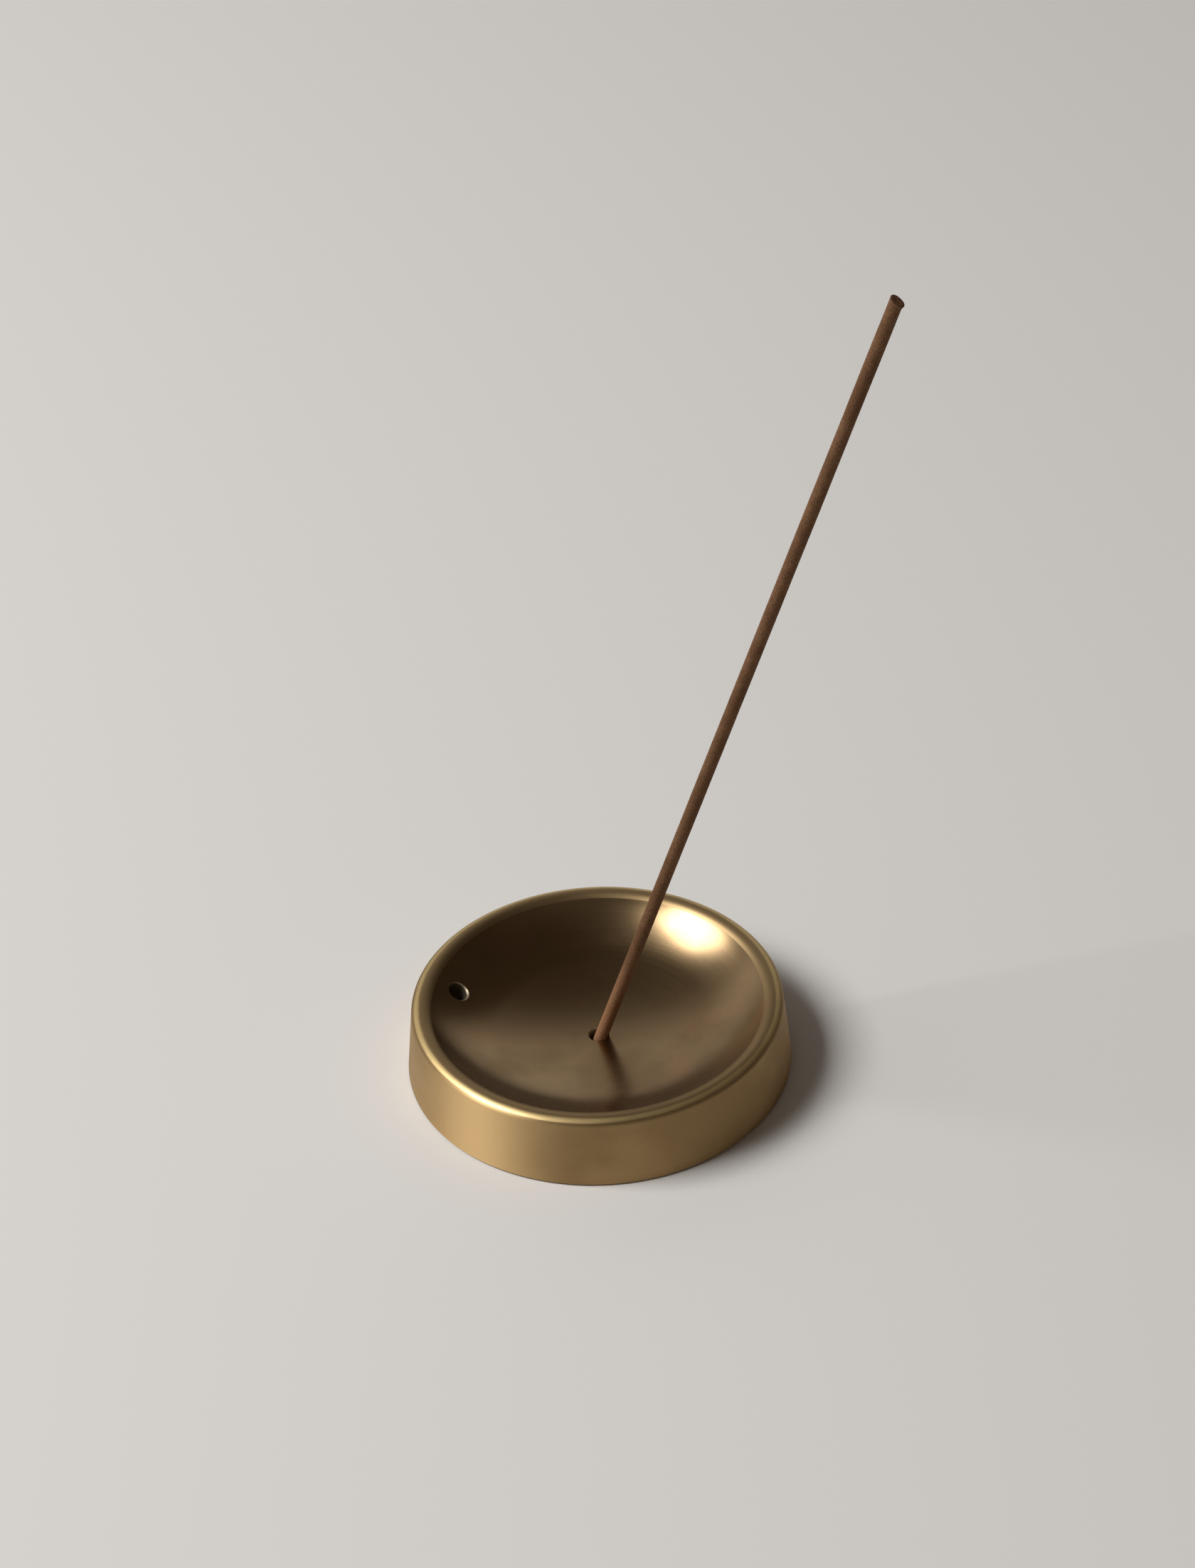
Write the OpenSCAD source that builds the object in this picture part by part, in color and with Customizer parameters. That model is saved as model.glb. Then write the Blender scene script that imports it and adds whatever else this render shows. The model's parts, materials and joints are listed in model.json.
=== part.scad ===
// Incense burner. A turned brass dish with a shallow bowl holds a loose incense
// stick in a hole in the middle of the bowl. A second hole near the rim is drilled
// on a slant and takes another stick. All sizes are in millimetres.
// The origin is the middle of the flat base, +Z is up, and both holes lie on the
// XZ plane: the rim hole on the -X side, and the stick leaning towards +X.

/* [Dish] */
// Radius of the flat base
base_r = 30; // [29:0.5:32]
// Height of the rim above the table
dish_h = 11.65; // [11.4:0.05:12]
// Lean of the outer wall, in degrees: the dish is narrower at the top
wall_taper = 5.8; // [4.5:0.1:7]
// Distance from the edge of the base in to the crest of the rim
rim_inset = 2.8; // [2.6:0.05:2.9]
// Radius of the curve that falls away outside the crest
crest_r = 2.5; // [2.3:0.1:2.8]
// Radius of the curve that turns down into the bowl
rim_in_r = 2; // [1.6:0.1:2.4]
// Radius that rounds the corner between the rim and the outer wall
corner_r = 0.75; // [0.6:0.05:0.9]
// Bevel around the bottom edge
base_bevel = 0.3; // [0.1:0.05:0.5]

/* [Bowl] */
// Thickness of brass under the middle of the bowl
floor_t = 4.5; // [4.4:0.1:4.8]
// Radius of the ball that would fit the floor of the bowl
floor_ball_r = 84; // [78:1:100]
// Steepness of the bowl where it meets the rim, in degrees
edge_angle = 43; // [41:1:46]

/* [Holes] */
// Radius of the middle hole
hole_r = 1.5; // [1.45:0.05:1.6]
// Bevel around the mouth of each hole
mouth_bevel = 0.15; // [0.05:0.05:0.2]
// Radius of the slanted hole near the rim
side_hole_r = 1.6; // [1.5:0.05:1.7]
// Distance from the middle of the dish to the mouth of the slanted hole
side_mouth_r = 22.8; // [21.5:0.1:23.2]
// Slant of that hole from upright, in degrees
side_slant = 33; // [28:1:40]
// Depth of that hole along its own axis
side_depth = 4.6; // [4:0.1:5]

/* [Stick] */
// Length of the stick
stick_l = 149; // [70:1:210]
// Radius of the stick
stick_r = 1; // [0.9:0.05:1.05]
// Lean of the stick from upright, in degrees
stick_lean = 18.75; // [18:0.25:21]
// Slant of the cut at the top of the stick, in degrees
tip_slant = 18; // [0:1:30]

/* [Hidden] */
$fn = 96;
over = 1;
// Space left wherever the loose stick touches the brass
gap = 0.04;
// The bowl's arcs run this far into each other, so that they always cross
lap = 0.01;
// Arcs that join another shape run on by this many degrees, for the same reason
run_on = 1;

// Outside the crest one arc falls to a tighter one, which rounds the corner and meets
// the wall smoothly.
rim_x = base_r - rim_inset;
crest_z = dish_h - crest_r;
corner_in = rim_inset * cos(wall_taper) - crest_z * sin(wall_taper) - corner_r;
corner_angle = asin(corner_in / (crest_r - corner_r)) - wall_taper;
corner_x = rim_x + (crest_r - corner_r) * sin(corner_angle);
corner_z = crest_z + (crest_r - corner_r) * cos(corner_angle);
wall_top = [corner_x + corner_r * cos(wall_taper), corner_z + corner_r * sin(wall_taper)];

// The bowl's edge arc starts on the inner rim arc, and meets the floor smoothly.
edge_x = rim_x - rim_in_r * sin(edge_angle);
edge_z = dish_h - rim_in_r * (1 - cos(edge_angle));
ball_z = floor_t + floor_ball_r;
drop = edge_z - ball_z;
edge_r = (edge_x * edge_x + drop * drop - floor_ball_r * floor_ball_r)
    / (2 * (edge_x * sin(edge_angle) - drop * cos(edge_angle) - floor_ball_r));
arc_x = edge_x - edge_r * sin(edge_angle);
arc_z = edge_z + edge_r * cos(edge_angle);
join_angle = asin(arc_x / (floor_ball_r - edge_r));

// The loose stick leans until it rests on the mouth's edge on one side and on the
// wall of the hole on the other. The hole is just deep enough for that lean.
mouth_z = floor_t - mouth_bevel;
stick_x = hole_r - gap - stick_r / cos(stick_lean);
stick_in = (stick_x + hole_r - gap - stick_r * cos(stick_lean)) / sin(stick_lean);
hole_z = mouth_z - stick_in * cos(stick_lean) - stick_r * sin(stick_lean) - gap;

// Height of the bowl's edge arc at the mouth of the slanted hole
side_z = arc_z - sqrt(edge_r * edge_r - pow(side_mouth_r - arc_x, 2));

module slice(from, to, r) {
    reach = 1.5 * r;
    intersection() {
        circle(r, $fn = 360);
        polygon([
            [0, 0],
            [reach * sin(from), -reach * cos(from)],
            [reach * sin(to), -reach * cos(to)]
        ]);
    }
}

module outer_shape() {
    polygon([
        [0, 0],
        [base_r - base_bevel, 0],
        [base_r - base_bevel * tan(wall_taper), base_bevel],
        wall_top,
        [corner_x, corner_z],
        [rim_x, crest_z],
        [rim_x, dish_h],
        [0, dish_h]
    ]);
    translate([rim_x, crest_z])
        slice(180 - corner_angle, 180 + run_on, crest_r);
    translate([corner_x, corner_z])
        circle(corner_r + lap / 2);
}

module bowl_space() {
    difference() {
        union() {
            translate([0, ball_z])
                slice(0, join_angle, floor_ball_r);
            translate([arc_x, arc_z])
                slice(0, edge_angle + run_on, edge_r + lap);
            polygon([
                [arc_x, arc_z],
                [rim_x, dish_h - rim_in_r],
                [rim_x, dish_h + over]
            ]);
        }
        translate([rim_x, dish_h - rim_in_r])
            circle(rim_in_r);
    }
}

module middle_hole() {
    translate([0, 0, hole_z])
        cylinder(r = hole_r, h = floor_t - hole_z + over);
    translate([0, 0, mouth_z])
        cylinder(r1 = hole_r, r2 = hole_r + over, h = over);
}

module side_hole() {
    translate([-side_mouth_r, 0, side_z])
        rotate([0, side_slant, 0]) {
            translate([0, 0, -side_depth])
                cylinder(r = side_hole_r, h = side_depth + over);
            translate([0, 0, -mouth_bevel])
                cylinder(r1 = side_hole_r, r2 = side_hole_r + over, h = over);
        }
}

module dish() {
    color("darkgoldenrod")
        difference() {
            rotate_extrude()
                difference() {
                    outer_shape();
                    bowl_space();
                }
            middle_hole();
            side_hole();
        }
}

module stick() {
    color("saddlebrown")
        translate([stick_x, 0, mouth_z])
            rotate([0, stick_lean, 0])
                translate([0, 0, -stick_in])
                    difference() {
                        cylinder(r = stick_r, h = stick_l);
                        translate([0, 0, stick_l])
                            rotate([0, tip_slant, 0])
                                translate([-5, -5, 0])
                                    cube([10, 10, 5]);
                    }
}

dish();
stick();
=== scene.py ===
import json
import math

import bmesh
import bpy
from mathutils import Matrix, Vector, noise


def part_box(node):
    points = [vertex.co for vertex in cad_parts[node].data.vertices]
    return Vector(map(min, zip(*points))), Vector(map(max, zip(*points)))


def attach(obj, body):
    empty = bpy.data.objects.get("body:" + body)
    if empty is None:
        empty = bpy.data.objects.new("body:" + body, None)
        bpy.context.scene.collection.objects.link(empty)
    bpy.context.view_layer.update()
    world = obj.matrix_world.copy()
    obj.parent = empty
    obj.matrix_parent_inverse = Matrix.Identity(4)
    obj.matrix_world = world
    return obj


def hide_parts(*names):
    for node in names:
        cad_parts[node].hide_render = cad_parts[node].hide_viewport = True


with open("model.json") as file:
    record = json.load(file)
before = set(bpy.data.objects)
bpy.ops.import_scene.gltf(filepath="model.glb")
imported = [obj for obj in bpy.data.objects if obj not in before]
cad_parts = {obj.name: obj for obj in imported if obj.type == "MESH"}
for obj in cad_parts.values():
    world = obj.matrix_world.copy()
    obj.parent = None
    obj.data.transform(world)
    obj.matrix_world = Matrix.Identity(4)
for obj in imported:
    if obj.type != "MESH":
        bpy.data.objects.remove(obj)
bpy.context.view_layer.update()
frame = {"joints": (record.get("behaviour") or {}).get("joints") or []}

mm = 0.001
world = bpy.context.scene.world or bpy.data.worlds.new("room")
bpy.context.scene.world = world
bpy.context.scene.view_settings.view_transform = "Standard"


def addNode(tree, kind, **settings):
    node = tree.nodes.new(kind)
    for name, value in settings.items():
        setattr(node, name, value)
    return node


def feed(tree, socket, value):
    # a socket from another node is linked, anything else is set on the socket itself
    if isinstance(value, bpy.types.NodeSocket):
        tree.links.new(value, socket)
    else:
        socket.default_value = value


def maths(tree, operation, a, b=0.0):
    node = addNode(tree, "ShaderNodeMath", operation=operation)
    feed(tree, node.inputs[0], a)
    feed(tree, node.inputs[1], b)
    return node.outputs[0]


def smoothBand(tree, value, low, high):
    # 0 at low and 1 at high, with a soft change between; low may be the larger number
    node = addNode(tree, "ShaderNodeMapRange", interpolation_type="SMOOTHSTEP")
    feed(tree, node.inputs["Value"], value)
    feed(tree, node.inputs["From Min"], low)
    feed(tree, node.inputs["From Max"], high)
    return node.outputs["Result"]


def mixColour(tree, mask, a, b):
    node = addNode(tree, "ShaderNodeMix", data_type="RGBA", blend_type="MIX")
    feed(tree, node.inputs[0], mask)
    feed(tree, node.inputs[6], a)
    feed(tree, node.inputs[7], b)
    return node.outputs[2]


def noiseValue(tree, vector, scale, detail, roughness, w=None):
    node = addNode(tree, "ShaderNodeTexNoise", noise_dimensions="3D" if w is None else "4D")
    feed(tree, node.inputs["Vector"], vector)
    if w is not None:
        feed(tree, node.inputs["W"], w)
    node.inputs["Scale"].default_value = scale
    node.inputs["Detail"].default_value = detail
    node.inputs["Roughness"].default_value = roughness
    return node.outputs["Fac"]


def splitVector(tree, vector):
    parts = addNode(tree, "ShaderNodeSeparateXYZ")
    feed(tree, parts.inputs[0], vector)
    return parts.outputs


def objectPlace(tree):
    return addNode(tree, "ShaderNodeTexCoord").outputs["Object"]


def axisDistance(tree, x, y):
    # how far a point is from the dish's upright middle line
    squares = maths(tree, "ADD", maths(tree, "MULTIPLY", x, x), maths(tree, "MULTIPLY", y, y))
    return maths(tree, "SQRT", squares)


def newGroup(name, inputs, outputs):
    group = bpy.data.node_groups.new(name, "ShaderNodeTree")
    for label, kind, value in inputs:
        socket = group.interface.new_socket(name=label, in_out="INPUT", socket_type=kind)
        if value is not None:
            socket.default_value = value
    for label, kind in outputs:
        group.interface.new_socket(name=label, in_out="OUTPUT", socket_type=kind)
    source = addNode(group, "NodeGroupInput")
    sink = addNode(group, "NodeGroupOutput")
    return group, source, sink


def useGroup(tree, group, **values):
    node = addNode(tree, "ShaderNodeGroup", node_tree=group)
    for name, value in values.items():
        feed(tree, node.inputs[name], value)
    return node


def makeTurnedMarks():
    # fine rings left by the lathe tool: they change across the radius and height, hardly around
    group, source, sink = newGroup(
        "turnedMarks",
        [("Spacing", "NodeSocketFloat", 0.0003), ("Waver", "NodeSocketFloat", 0.6)],
        [("Height", "NodeSocketFloat"), ("Tone", "NodeSocketFloat")],
    )
    x, y, z = splitVector(group, objectPlace(group))
    radius = axisDistance(group, x, y)
    safeRadius = maths(group, "MAXIMUM", radius, 0.5 * mm)  # never divides by nothing at the middle
    spacing = source.outputs["Spacing"]
    waver = source.outputs["Waver"]
    around = addNode(group, "ShaderNodeCombineXYZ")
    group.links.new(maths(group, "DIVIDE", radius, spacing), around.inputs[0])
    group.links.new(maths(group, "DIVIDE", z, spacing), around.inputs[1])
    turnX = maths(group, "MULTIPLY", maths(group, "DIVIDE", x, safeRadius), waver)
    turnY = maths(group, "MULTIPLY", maths(group, "DIVIDE", y, safeRadius), waver)
    group.links.new(turnX, around.inputs[2])
    fine = noiseValue(group, around.outputs[0], scale=1.0, detail=3.0, roughness=0.6, w=turnY)
    broad = noiseValue(group, around.outputs[0], scale=0.12, detail=2.0, roughness=0.5, w=turnY)
    tone = maths(group, "ADD", maths(group, "MULTIPLY", fine, 0.5), maths(group, "MULTIPLY", broad, 0.5))
    group.links.new(fine, sink.inputs["Height"])
    group.links.new(tone, sink.inputs["Tone"])
    return group


def makeBlotches():
    # soft uneven patches, such as tarnish on brass or darker paste in the incense
    group, source, sink = newGroup(
        "blotches",
        [("Size", "NodeSocketFloat", 0.01), ("Low", "NodeSocketFloat", 0.4),
         ("High", "NodeSocketFloat", 0.6), ("Shift", "NodeSocketVector", None)],
        [("Mask", "NodeSocketFloat")],
    )
    moved = addNode(group, "ShaderNodeVectorMath", operation="ADD")
    group.links.new(objectPlace(group), moved.inputs[0])
    group.links.new(source.outputs["Shift"], moved.inputs[1])
    scaled = addNode(group, "ShaderNodeVectorMath", operation="SCALE")
    group.links.new(moved.outputs[0], scaled.inputs[0])
    group.links.new(maths(group, "DIVIDE", 1.0, source.outputs["Size"]), scaled.inputs["Scale"])
    cloud = noiseValue(group, scaled.outputs[0], scale=1.0, detail=4.0, roughness=0.55)
    mask = smoothBand(group, cloud, source.outputs["Low"], source.outputs["High"])
    group.links.new(mask, sink.inputs["Mask"])
    return group


def makeEdgeWear():
    # handling keeps the rim's outer corner brighter, in a thin ragged band at one radius
    group, source, sink = newGroup(
        "edgeWear",
        [("Radius", "NodeSocketFloat", 0.0281), ("Width", "NodeSocketFloat", 0.0006),
         ("Ragged", "NodeSocketFloat", 0.5), ("Low", "NodeSocketFloat", 0.0105)],
        [("Mask", "NodeSocketFloat")],
    )
    place = objectPlace(group)
    x, y, z = splitVector(group, place)
    away = maths(group, "SUBTRACT", axisDistance(group, x, y), source.outputs["Radius"])
    away = maths(group, "DIVIDE", maths(group, "ABSOLUTE", away), source.outputs["Width"])
    cloud = noiseValue(group, place, scale=260, detail=3.0, roughness=0.6)
    ragged = maths(group, "MULTIPLY", maths(group, "SUBTRACT", cloud, 0.5), source.outputs["Ragged"])
    band = smoothBand(group, maths(group, "ADD", away, ragged), 1.0, 0.2)
    raised = maths(group, "GREATER_THAN", z, source.outputs["Low"])  # keeps it off the lower wall
    group.links.new(maths(group, "MULTIPLY", band, raised), sink.inputs["Mask"])
    return group


# effects that more than one material uses, each built once
turnedMarks = makeTurnedMarks()
edgeWear = makeEdgeWear()
blotches = makeBlotches()
print("shared effects ready")


dishLook = {
    "baseRadius": 30 * mm,
    "wallLean": math.radians(5.8),
    "crestOut": 27.2 * mm,
    "crestRound": 2.5 * mm,
    "cornerRound": 0.75 * mm,
    "innerRound": 2.0 * mm,
    "baseBevel": 0.3 * mm,
    "floorUp": 4.5 * mm,
    "floorBall": 84 * mm,
    "edgeAngle": math.radians(43),
    "turns": 288,
    "step": 0.45 * mm,
    "fewestRunSteps": 2,
    "fewestArcSteps": 7,
    "smallestEdge": 0.003 * mm,
    "sharpAngle": math.radians(25),
    "holeRadius": 1.5 * mm,
    "holeBottom": 1.29 * mm,
    "rimHoleRadius": 1.6 * mm,
    "rimHoleOut": 22.8 * mm,
    "rimHoleLean": math.radians(33),
    "rimHoleDeep": 4.6 * mm,
    "mouthBevel": 0.15 * mm,
    "drillSides": 96,
    "drillFlare": 1 * mm,
    "looks": {
        "bowl": {"tone": (0.37, 0.26, 0.145, 1), "dark": (0.23, 0.15, 0.07, 1),
                 "warm": (0.43, 0.26, 0.15, 1),
                 "rough": 0.22, "brushed": 0.10, "patches": 0.50, "marks": 0.08, "bump": 0.04},
        "wall": {"tone": (0.56, 0.385, 0.185, 1), "dark": (0.32, 0.20, 0.09, 1),
                 "warm": (0.58, 0.35, 0.18, 1),
                 "rough": 0.50, "brushed": 0.88, "patches": 0.22, "marks": 0.22, "bump": 0.25},
        "rim": {"tone": (0.38, 0.265, 0.135, 1), "dark": (0.25, 0.165, 0.08, 1),
                "warm": (0.44, 0.28, 0.15, 1),
                "rough": 0.41, "brushed": 0.20, "patches": 0.25, "marks": 0.12, "bump": 0.08},
        "bore": {"tone": (0.50, 0.42, 0.30, 1), "dark": (0.20, 0.15, 0.10, 1),
                 "warm": (0.45, 0.32, 0.20, 1),
                 "rough": 0.45, "brushed": 0.0, "patches": 0.5, "marks": 0.3, "bump": 0.2},
    },
    "brushTurn": 0.25,  # quarter turn: the brushing runs around the dish
    "markSpacing": 0.22 * mm,
    "markDepth": 0.004 * mm,
    "tarnish": {"Size": 16 * mm, "Low": 0.40, "High": 0.64},
    "copper": {"Size": 11 * mm, "Low": 0.52, "High": 0.70, "Shift": (0.31, 0.12, 0.07)},
    "wear": {"Radius": 28.1 * mm, "Width": 0.6 * mm, "Ragged": 0.5, "Low": 10.5 * mm},
    "worn": (0.76, 0.57, 0.27, 1),
    "marksRoughen": 0.10,
    "tarnishRoughens": 0.05,
}


def makeBrass(name, look):
    material = bpy.data.materials.new(name)
    material.use_nodes = True
    tree = material.node_tree
    shader = tree.nodes["Principled BSDF"]
    shader.inputs["Metallic"].default_value = 1.0
    shader.inputs["Anisotropic"].default_value = look["brushed"]
    shader.inputs["Anisotropic Rotation"].default_value = dishLook["brushTurn"]
    tangent = addNode(tree, "ShaderNodeTangent", direction_type="RADIAL", axis="Z")
    tree.links.new(tangent.outputs[0], shader.inputs["Tangent"])
    marks = useGroup(tree, turnedMarks, Spacing=dishLook["markSpacing"])
    tarnish = useGroup(tree, blotches, **dishLook["tarnish"])
    copper = useGroup(tree, blotches, **dishLook["copper"])
    wear = useGroup(tree, edgeWear, **dishLook["wear"])
    tarnished = maths(tree, "MULTIPLY", tarnish.outputs[0], look["patches"])
    coppery = maths(tree, "MULTIPLY", copper.outputs[0], look["patches"])
    marked = maths(tree, "MULTIPLY", marks.outputs["Tone"], look["marks"])
    tone = mixColour(tree, tarnished, look["tone"], look["dark"])
    tone = mixColour(tree, coppery, tone, look["warm"])
    tone = mixColour(tree, marked, tone, look["dark"])
    tone = mixColour(tree, wear.outputs["Mask"], tone, dishLook["worn"])
    tree.links.new(tone, shader.inputs["Base Color"])
    uneven = maths(tree, "SUBTRACT", marks.outputs["Tone"], 0.5)
    uneven = maths(tree, "MULTIPLY", uneven, dishLook["marksRoughen"])
    cloudy = maths(tree, "MULTIPLY", tarnish.outputs[0], dishLook["tarnishRoughens"])
    rough = maths(tree, "ADD", maths(tree, "ADD", uneven, cloudy), look["rough"])
    tree.links.new(rough, shader.inputs["Roughness"])
    bump = addNode(tree, "ShaderNodeBump")
    bump.inputs["Strength"].default_value = look["bump"]
    bump.inputs["Distance"].default_value = dishLook["markDepth"]
    tree.links.new(marks.outputs["Height"], bump.inputs["Height"])
    tree.links.new(bump.outputs[0], shader.inputs["Normal"])
    return material


def dishParts():
    # the outline from the middle of the underside to the middle of the bowl
    # each part is a straight run or an arc, with the finish it takes
    # an arc's angles run from straight outwards, and "out" is -1 where the brass is outside the arc
    d = dishLook
    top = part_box("dish")[1].z
    lean = d["wallLean"]
    corner = d["cornerRound"]
    crest = d["crestOut"]
    roundUp = top - d["crestRound"]
    inner = d["crestRound"] - corner
    wallGap = (d["baseRadius"] - crest) * math.cos(lean) - roundUp * math.sin(lean)
    turned = math.asin((wallGap - corner) / inner) - lean  # how far the crest's arc falls before the corner
    cornerOut = crest + inner * math.sin(turned)
    cornerUp = roundUp + inner * math.cos(turned)
    wallTop = (cornerOut + corner * math.cos(lean), cornerUp + corner * math.sin(lean))
    baseEdge = (d["baseRadius"] - d["baseBevel"], 0)
    bevelTop = (d["baseRadius"] - d["baseBevel"] * math.tan(lean), d["baseBevel"])
    edge = d["edgeAngle"]
    edgeOut = crest - d["innerRound"] * math.sin(edge)
    edgeUp = top - d["innerRound"] * (1 - math.cos(edge))
    ballUp = d["floorUp"] + d["floorBall"]
    drop = edgeUp - ballUp
    edgeArc = (edgeOut ** 2 + drop ** 2 - d["floorBall"] ** 2) / (
        2 * (edgeOut * math.sin(edge) - drop * math.cos(edge) - d["floorBall"]))
    arcOut = edgeOut - edgeArc * math.sin(edge)
    arcUp = edgeUp + edgeArc * math.cos(edge)
    join = math.asin(arcOut / (d["floorBall"] - edgeArc))
    quarter = math.pi / 2
    return [
        {"name": "base", "finish": "wall", "run": [(0, 0), baseEdge]},
        {"name": "bevel", "finish": "wall", "run": [baseEdge, bevelTop]},
        {"name": "wall", "finish": "wall", "run": [bevelTop, wallTop]},
        {"name": "corner", "finish": "wall", "middle": (cornerOut, cornerUp), "radius": corner,
         "from": lean, "to": quarter - turned, "out": 1},
        {"name": "crest", "finish": "rim", "middle": (crest, roundUp), "radius": d["crestRound"],
         "from": quarter - turned, "to": quarter, "out": 1},
        {"name": "lip", "finish": "rim", "middle": (crest, top - d["innerRound"]),
         "radius": d["innerRound"], "from": quarter, "to": quarter + edge, "out": 1},
        {"name": "edge", "finish": "bowl", "middle": (arcOut, arcUp), "radius": edgeArc,
         "from": edge - quarter, "to": join - quarter, "out": -1},
        {"name": "floor", "finish": "bowl", "middle": (0, ballUp), "radius": d["floorBall"],
         "from": join - quarter, "to": -quarter, "out": -1},
    ]


def partPoints(part):
    step = dishLook["step"]
    if "run" in part:
        (r0, z0), (r1, z1) = part["run"]
        count = max(dishLook["fewestRunSteps"], round(math.hypot(r1 - r0, z1 - z0) / step))
        return [(r0 + (r1 - r0) * i / count, z0 + (z1 - z0) * i / count) for i in range(count + 1)]
    sweep = part["to"] - part["from"]
    count = max(dishLook["fewestArcSteps"], round(abs(sweep) * part["radius"] / step))
    turns = [part["from"] + sweep * i / count for i in range(count + 1)]
    r, z = part["middle"]
    return [(r + part["radius"] * math.cos(t), z + part["radius"] * math.sin(t)) for t in turns]


def partNormal(part, point):
    r = math.hypot(point.x, point.y)
    if "run" in part:
        (r0, z0), (r1, z1) = part["run"]
        outward, upward = z1 - z0, r0 - r1
    else:
        outward = (r - part["middle"][0]) * part["out"]
        upward = (point.z - part["middle"][1]) * part["out"]
    size = math.hypot(outward, upward)
    if r < 0.001 * mm:  # on the middle line it points straight up or down
        return Vector((0, 0, math.copysign(1, upward)))
    return Vector((point.x / r * outward / size, point.y / r * outward / size, upward / size))


def joinLoops(bm, loops):
    # skins a stack of equal loops and caps both ends
    count = len(loops[0])
    for a, b in zip(loops, loops[1:]):
        for k in range(count):
            j = (k + 1) % count
            bm.faces.new((a[k], a[j], b[j], b[k]))
    bm.faces.new(list(reversed(loops[0])))
    bm.faces.new(loops[-1])


def makeCutter(name, mouth, axis, radius, deep, material):
    # a drill and countersink in one: a closed pin with a flared top
    bm = bmesh.new()
    out = axis.orthogonal().normalized()
    other = axis.cross(out)
    bevel = dishLook["mouthBevel"]
    flare = dishLook["drillFlare"]
    sides = dishLook["drillSides"]
    loops = []
    for along, size in [(-deep, radius), (-bevel, radius), (-bevel + flare, radius + flare)]:
        loop = []
        for k in range(sides):
            turn = 2 * math.pi * k / sides
            around = out * math.cos(turn) + other * math.sin(turn)
            loop.append(bm.verts.new(mouth + axis * along + around * size))
        loops.append(loop)
    joinLoops(bm, loops)
    bmesh.ops.recalc_face_normals(bm, faces=bm.faces)
    mesh = bpy.data.meshes.new(name)
    bm.to_mesh(mesh)
    bm.free()
    mesh.materials.append(material)
    cutter = bpy.data.objects.new(name, mesh)
    bpy.context.scene.collection.objects.link(cutter)
    return cutter


def makeTurnedBlank(parts, finishes):
    # spins the outline: every face remembers its part, counted from 1, and takes that part's finish
    turns = dishLook["turns"]
    bm = bmesh.new()
    partMark = bm.faces.layers.int.new("part")
    rings = []
    partOf = []
    for index, part in enumerate(parts):
        points = partPoints(part)
        for r, z in points if not rings else points[1:]:
            if r < 0.0001 * mm:
                ring = [bm.verts.new((0, 0, z))]
            else:
                angles = [2 * math.pi * k / turns for k in range(turns)]
                ring = [bm.verts.new((r * math.cos(angle), r * math.sin(angle), z)) for angle in angles]
            rings.append(ring)
            partOf.append(index)
    for i, (a, b) in enumerate(zip(rings, rings[1:])):
        index = partOf[i + 1]
        for k in range(turns):
            j = (k + 1) % turns
            corners = [a[k % len(a)], a[j % len(a)], b[j % len(b)], b[k % len(b)]]
            face = bm.faces.new(list(dict.fromkeys(corners)))
            face.material_index = finishes.index(parts[index]["finish"])
            face[partMark] = index + 1
    bmesh.ops.recalc_face_normals(bm, faces=bm.faces)
    mesh = bpy.data.meshes.new("brassDish")
    bm.to_mesh(mesh)
    bm.free()
    return mesh


def mergeSlivers(mesh):
    # drilling leaves a few needle-thin faces along the cut edges
    smallest = dishLook["smallestEdge"]
    bm = bmesh.new()
    bm.from_mesh(mesh)
    bmesh.ops.remove_doubles(bm, verts=bm.verts, dist=smallest)
    bmesh.ops.dissolve_degenerate(bm, dist=smallest, edges=bm.edges)
    bmesh.ops.triangulate(bm, faces=[face for face in bm.faces if len(face.verts) > 4])
    bmesh.ops.dissolve_degenerate(bm, dist=smallest, edges=bm.edges)
    bm.to_mesh(mesh)
    bm.free()


def smoothDish(mesh, parts):
    # the turned faces take the true slope of their arc, so that reflections run clean across them
    mesh.shade_smooth()
    mesh.set_sharp_from_angle(angle=dishLook["sharpAngle"])
    marks = mesh.attributes["part"].data
    normals = [Vector(corner.vector) for corner in mesh.corner_normals]
    for face in mesh.polygons:
        mark = marks[face.index].value
        if mark:  # the drilled faces have none
            for corner in face.loop_indices:
                point = mesh.vertices[mesh.loops[corner].vertex_index].co
                normals[corner] = partNormal(parts[mark - 1], point)
    mesh.normals_split_custom_set(normals)
    mesh.attributes.remove(mesh.attributes["part"])


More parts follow.
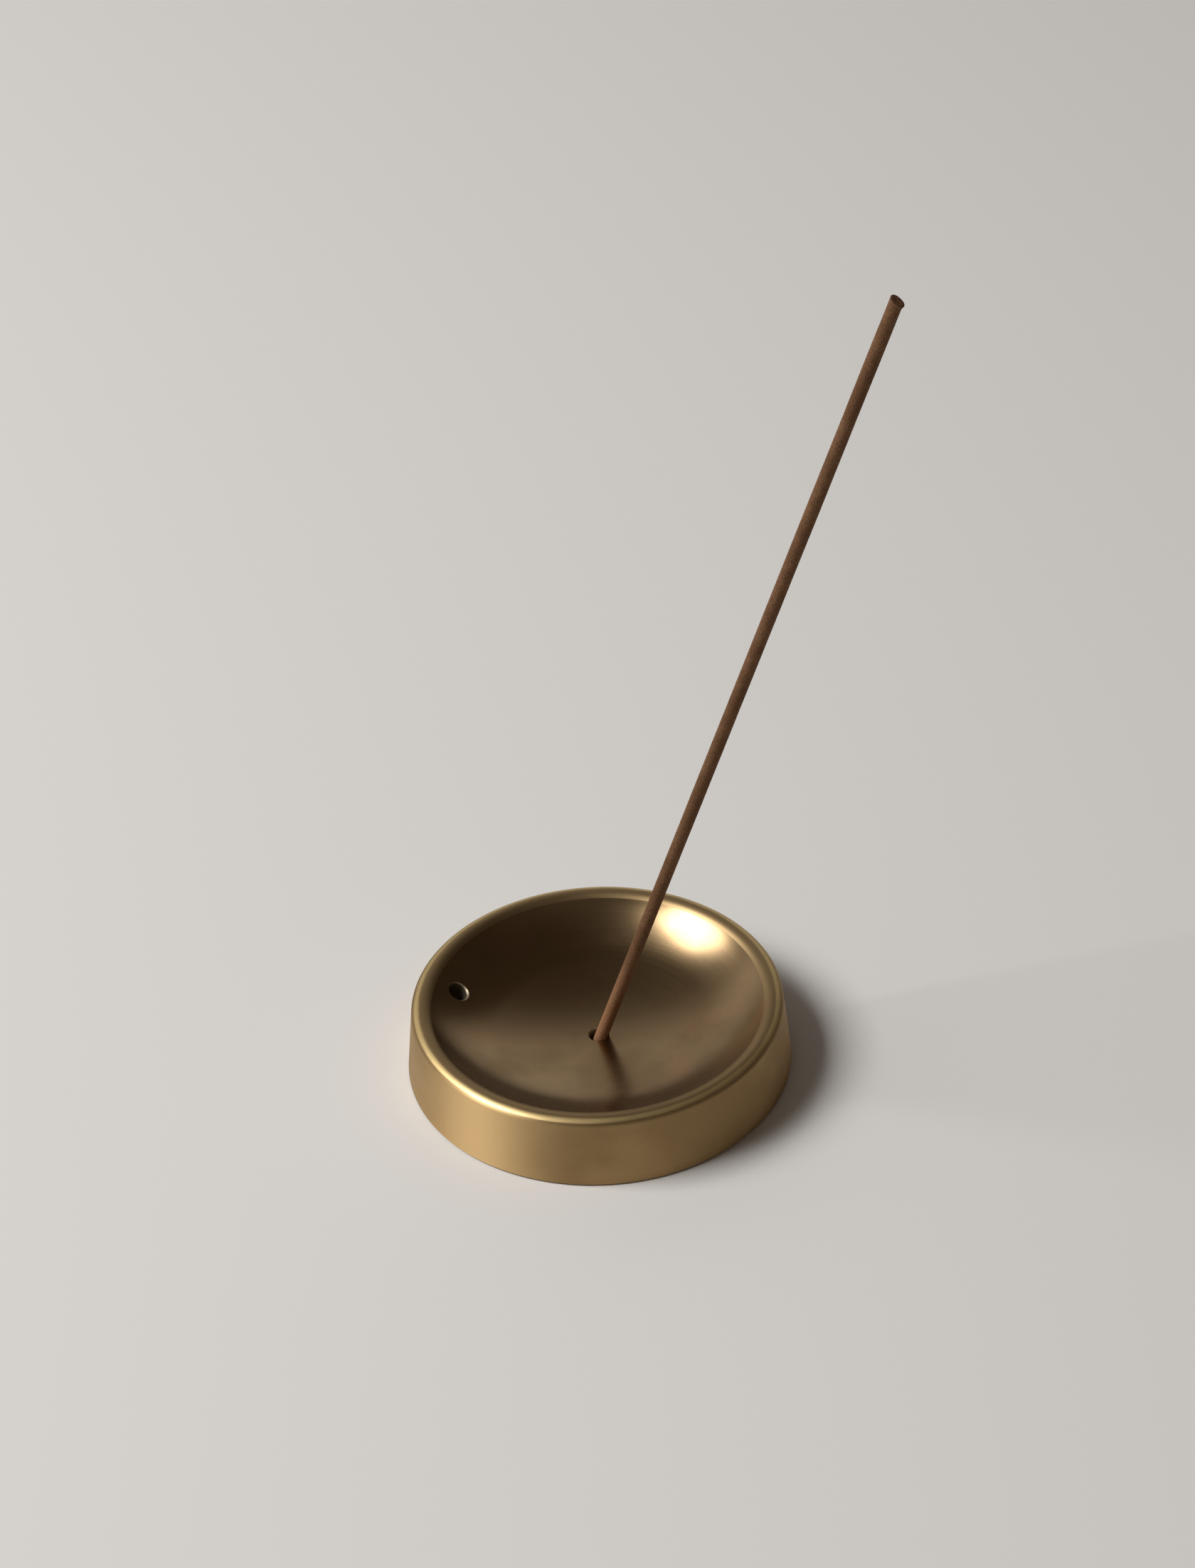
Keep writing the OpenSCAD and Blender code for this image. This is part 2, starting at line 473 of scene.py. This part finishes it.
def makeDish():
    d = dishLook
    parts = dishParts()
    finishes = list(d["looks"])
    brass = {finish: makeBrass(finish + "Brass", d["looks"][finish]) for finish in finishes}
    mesh = makeTurnedBlank(parts, finishes)
    for finish in finishes:
        mesh.materials.append(brass[finish])
    dish = bpy.data.objects.new("brassDish", mesh)
    bpy.context.scene.collection.objects.link(dish)
    edgePart = next(part for part in parts if part["name"] == "edge")
    arcOut, arcUp = edgePart["middle"]
    rimHoleUp = arcUp - math.sqrt(edgePart["radius"] ** 2 - (d["rimHoleOut"] - arcOut) ** 2)
    leanAxis = Vector((math.sin(d["rimHoleLean"]), 0, math.cos(d["rimHoleLean"])))
    cutters = [
        makeCutter("middleDrill", Vector((0, 0, d["floorUp"])), Vector((0, 0, 1)), d["holeRadius"],
                   d["floorUp"] - d["holeBottom"], brass["bore"]),
        makeCutter("rimDrill", Vector((-d["rimHoleOut"], 0, rimHoleUp)), leanAxis, d["rimHoleRadius"],
                   d["rimHoleDeep"], brass["bore"]),
    ]
    for cutter in cutters:
        cut = dish.modifiers.new(cutter.name, "BOOLEAN")
        cut.operation = "DIFFERENCE"
        cut.solver = "EXACT"
        cut.object = cutter
        cut.material_mode = "TRANSFER"
    finished = bpy.data.meshes.new_from_object(dish.evaluated_get(bpy.context.evaluated_depsgraph_get()))
    dish.modifiers.clear()
    dish.data = finished
    for cutter in cutters:
        bpy.data.objects.remove(cutter)
    mergeSlivers(finished)
    smoothDish(finished, parts)
    return dish


dish = makeDish()
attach(dish, "dish")
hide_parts("dish")
print("dish ready")


stickLook = {
    "radius": 1.0 * mm,
    "length": 149 * mm,
    "ringStep": 0.35 * mm,
    "sides": 56,
    "sharpAngle": math.radians(50),
    "plainLength": 4 * mm,  # the foot stays round where it stands in the hole
    "plainFade": 6 * mm,
    "waver": 0.02,
    "waverAround": 0.5,
    "waverAlong": 90,
    "grain": 0.014,
    "grainAround": 2.2,
    "grainAlong": 1400,
    "cutSlant": math.radians(18),
    "tipLength": 3 * mm,
    "flare": 0.22 * mm,
    "flareLength": 1.0 * mm,
    "cutRings": (0.88, 0.70, 0.56, 0.42, 0.28, 0.14),
    "cutCrown": 0.05 * mm,
    "cutRound": 0.3,
    "cutRough": 0.03 * mm,
    "cutGrain": 2600,
    "cutSeed": 3.1,
    "dent": 0.16 * mm,
    "dentAcross": 0.15 * mm,
    "dentLong": 0.45 * mm,
    "dentWide": 0.22 * mm,
    "tone": (0.195, 0.102, 0.052, 1),
    "patches": {"Size": 4 * mm, "Low": 0.35, "High": 0.7},
    "patchTone": (0.145, 0.073, 0.037, 1),
    "specks": {"Size": 0.3 * mm, "Low": 0.42, "High": 0.66},
    "speckTone": (0.090, 0.042, 0.022, 1),
    # painted reflected light: a paler tone on the stick's foot for the light the brass bowl throws onto it,
    # at full share below the low height and gone above the top one
    "paintedBounceTone": (0.36, 0.19, 0.10, 1),
    "paintedBounceTop": 26 * mm,
    "paintedBounceLow": 6 * mm,
    "paintedBounceShare": 0.7,
    "speckShare": 0.55,
    "speckDepth": 0.06 * mm,
    "bump": 0.6,
    "rough": 0.9,
    "shine": 0.08,
}


def makeIncense():
    look = stickLook
    material = bpy.data.materials.new("incensePaste")
    material.use_nodes = True
    tree = material.node_tree
    shader = tree.nodes["Principled BSDF"]
    shader.inputs["Specular IOR Level"].default_value = look["shine"]
    shader.inputs["Roughness"].default_value = look["rough"]
    patches = useGroup(tree, blotches, **look["patches"])
    specks = useGroup(tree, blotches, **look["specks"])
    tone = mixColour(tree, patches.outputs[0], look["tone"], look["patchTone"])
    speckled = maths(tree, "MULTIPLY", specks.outputs[0], look["speckShare"])
    tone = mixColour(tree, speckled, tone, look["speckTone"])
    # painted light: the foot is a little paler than the rest, a painted stand-in for the warm light the
    # brass bowl throws onto it
    height = splitVector(tree, objectPlace(tree))[2]
    paintedBounce = smoothBand(tree, height, look["paintedBounceTop"], look["paintedBounceLow"])
    paintedBounce = maths(tree, "MULTIPLY", paintedBounce, look["paintedBounceShare"])
    tone = mixColour(tree, paintedBounce, tone, look["paintedBounceTone"])
    tree.links.new(tone, shader.inputs["Base Color"])
    bump = addNode(tree, "ShaderNodeBump")
    bump.inputs["Strength"].default_value = look["bump"]
    bump.inputs["Distance"].default_value = look["speckDepth"]
    tree.links.new(specks.outputs[0], bump.inputs["Height"])
    tree.links.new(bump.outputs[0], shader.inputs["Normal"])
    return material


def stickSkin(turn, along):
    # the paste is not quite round: it swells a little, has a fine grain, and flares on one side at the cut
    look = stickLook
    c, s = math.cos(turn), math.sin(turn)
    free = min(1, max(0, (along - look["plainLength"]) / look["plainFade"]))
    swell = Vector((c * look["waverAround"], s * look["waverAround"], along * look["waverAlong"]))
    grain = Vector((c * look["grainAround"], s * look["grainAround"], along * look["grainAlong"]))
    uneven = look["waver"] * noise.noise(swell) + look["grain"] * noise.noise(grain)
    flare = max(0, 1 - (look["length"] - along) / look["flareLength"])
    return look["radius"] * (1 + free * uneven) + look["flare"] * flare ** 2 * max(0, c) ** 2


def cutLift(part, across, over):
    # height of the cut face above its slanted plane: rounded edge, rough middle, one long dent
    look = stickLook
    crown = look["cutCrown"] * min(1, (1 - part) / look["cutRound"])
    lengthwise = (across - look["dentAcross"]) / look["dentLong"]
    widthwise = over / look["dentWide"]
    dent = math.exp(-lengthwise ** 2 - widthwise ** 2)
    grain = look["cutGrain"]
    rough = look["cutRough"] * noise.noise(Vector((across * grain, over * grain, look["cutSeed"])))
    return crown - look["dent"] * dent + rough


def makeStick():
    look = stickLook
    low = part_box("stick")[0]
    axis = Vector(frame["joints"][0]["axis"]).normalized()
    side = Vector((axis.z, 0, -axis.x))
    back = Vector((0, 1, 0))
    foot = Vector((low.x + look["radius"] * axis.z, 0, low.z + look["radius"] * axis.x))
    slant = math.tan(look["cutSlant"])
    tipStart = look["length"] - look["tipLength"]
    rings = int(look["length"] / look["ringStep"])
    turns = [2 * math.pi * k / look["sides"] for k in range(look["sides"])]
    bm = bmesh.new()
    loops = []
    for i in range(rings + 1):
        along = look["length"] * i / rings
        tip = max(0, (along - tipStart) / look["tipLength"])
        loop = []
        for turn in turns:
            r = stickSkin(turn, along)
            across = r * math.cos(turn)
            # the last few rings tilt together, so the top one lies on the slanted cut
            reach = along - tip * across * slant
            loop.append(bm.verts.new(foot + axis * reach + side * across + back * (r * math.sin(turn))))
        loops.append(loop)
    for part in look["cutRings"]:  # the cut face, in rings that shrink towards its middle
        loop = []
        for turn in turns:
            r = stickSkin(turn, look["length"]) * part
            across = r * math.cos(turn)
            over = r * math.sin(turn)
            reach = look["length"] - across * slant + cutLift(part, across, over)
            loop.append(bm.verts.new(foot + axis * reach + side * across + back * over))
        loops.append(loop)
    joinLoops(bm, loops)
    mesh = bpy.data.meshes.new("incenseStick")
    bm.to_mesh(mesh)
    bm.free()
    mesh.shade_smooth()
    mesh.set_sharp_from_angle(angle=look["sharpAngle"])
    stick = bpy.data.objects.new("incenseStick", mesh)
    bpy.context.scene.collection.objects.link(stick)
    mesh.materials.append(makeIncense())
    return stick


stick = makeStick()
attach(stick, "stick")
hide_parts("stick")
print("stick ready")


studio = {
    "floorTone": (0.80, 0.785, 0.76, 1),
    "floorRough": 0.9,
    "floorSize": 12.0,
    "floorLevel": -0.05 * mm,
    "windowSide": math.radians(201),
    "windowUp": math.radians(49),
    "windowAway": 1.6,
    "windowWide": 0.82,
    "windowTall": 0.74,
    "windowPower": 23.0,
    "roomLight": 0.05,
    "roomTone": (1, 0.72, 0.50, 1),
    "glowTone": (1, 0.98, 0.95, 1),
    # each glow: its side, how its light fades sideways, and the heights where it fades out above and below
    "glows": [
        {"side": 123, "narrow": 0.50, "wide": 0.78, "light": 0.50,
         "top": (0.82, 0.50), "foot": (-0.10, 0.45)},
        {"side": 188, "narrow": 0.60, "wide": 1.00, "light": 0.29,
         "top": (0.95, 0.20), "foot": (-1.0, -0.5)},
        {"side": -75, "narrow": 0.00, "wide": 0.90, "light": 0.09,
         "top": (1.05, 0.95), "foot": (-1.0, -0.5)},
    ],
    "cameraPlace": (0.16045, -0.48235, 0.43584),
    "cameraTurn": math.radians(18.2),
    "cameraTilt": math.radians(53.04),
    "cameraRoll": math.radians(-2.90),
    "cameraLens": 97.96,
    "cameraSensor": 36,
    "cameraNearest": 0.01,
}


def makeFloor():
    half = studio["floorSize"] / 2
    level = studio["floorLevel"]
    mesh = bpy.data.meshes.new("floor")
    corners = [(-half, -half, level), (half, -half, level), (half, half, level), (-half, half, level)]
    mesh.from_pydata(corners, [], [(0, 1, 2, 3)])
    floor = bpy.data.objects.new("floor", mesh)
    bpy.context.scene.collection.objects.link(floor)
    material = bpy.data.materials.new("palePlaster")
    material.use_nodes = True
    shader = material.node_tree.nodes["Principled BSDF"]
    shader.inputs["Base Color"].default_value = studio["floorTone"]
    shader.inputs["Roughness"].default_value = studio["floorRough"]
    mesh.materials.append(material)


def makeWindow():
    # one soft light, high on the left
    side, up = studio["windowSide"], studio["windowUp"]
    towards = Vector((math.cos(side) * math.cos(up), math.sin(side) * math.cos(up), math.sin(up)))
    data = bpy.data.lights.new("window", "AREA")
    data.shape = "RECTANGLE"
    data.size = studio["windowWide"]
    data.size_y = studio["windowTall"]
    data.energy = studio["windowPower"]
    lamp = bpy.data.objects.new("window", data)
    bpy.context.scene.collection.objects.link(lamp)
    lamp.location = towards * studio["windowAway"]
    lamp.rotation_mode = "QUATERNION"
    lamp.rotation_quaternion = (-towards).to_track_quat("-Z", "Y")
    lamp.visible_camera = False


def makeRoom():
    # a dim warm room, a little lighter low down behind, on the window's side and in front
    world.use_nodes = True
    tree = world.node_tree
    glowing = tree.nodes["Background"]
    x, y, z = splitVector(tree, addNode(tree, "ShaderNodeTexCoord").outputs["Generated"])
    light = 0.0
    for glow in studio["glows"]:
        side = math.radians(glow["side"])
        alongX = maths(tree, "MULTIPLY", x, math.cos(side))
        alongY = maths(tree, "MULTIPLY", y, math.sin(side))
        across = smoothBand(tree, maths(tree, "ADD", alongX, alongY), glow["narrow"], glow["wide"])
        below = smoothBand(tree, z, *glow["top"])
        above = smoothBand(tree, z, *glow["foot"])
        share = maths(tree, "MULTIPLY", maths(tree, "MULTIPLY", across, below),
                      maths(tree, "MULTIPLY", above, glow["light"]))
        light = maths(tree, "ADD", light, share)
    tree.links.new(light, glowing.inputs["Strength"])
    glowing.inputs["Color"].default_value = studio["glowTone"]
    room = addNode(tree, "ShaderNodeBackground")
    room.inputs["Color"].default_value = studio["roomTone"]
    room.inputs["Strength"].default_value = studio["roomLight"]
    both = addNode(tree, "ShaderNodeAddShader")
    tree.links.new(glowing.outputs[0], both.inputs[0])
    tree.links.new(room.outputs[0], both.inputs[1])
    tree.links.new(both.outputs[0], tree.nodes["World Output"].inputs["Surface"])


def makeCamera():
    data = bpy.data.cameras.new("camera")
    data.lens = studio["cameraLens"]
    data.sensor_width = studio["cameraSensor"]
    data.clip_start = studio["cameraNearest"]
    camera = bpy.data.objects.new("camera", data)
    bpy.context.scene.collection.objects.link(camera)
    turn = Matrix.Rotation(studio["cameraTurn"], 4, "Z")
    tilt = Matrix.Rotation(studio["cameraTilt"], 4, "X")
    roll = Matrix.Rotation(studio["cameraRoll"], 4, "Z")
    camera.matrix_world = Matrix.Translation(studio["cameraPlace"]) @ turn @ tilt @ roll
    bpy.context.scene.camera = camera


makeFloor()
makeWindow()
makeRoom()
makeCamera()
print("studio ready")
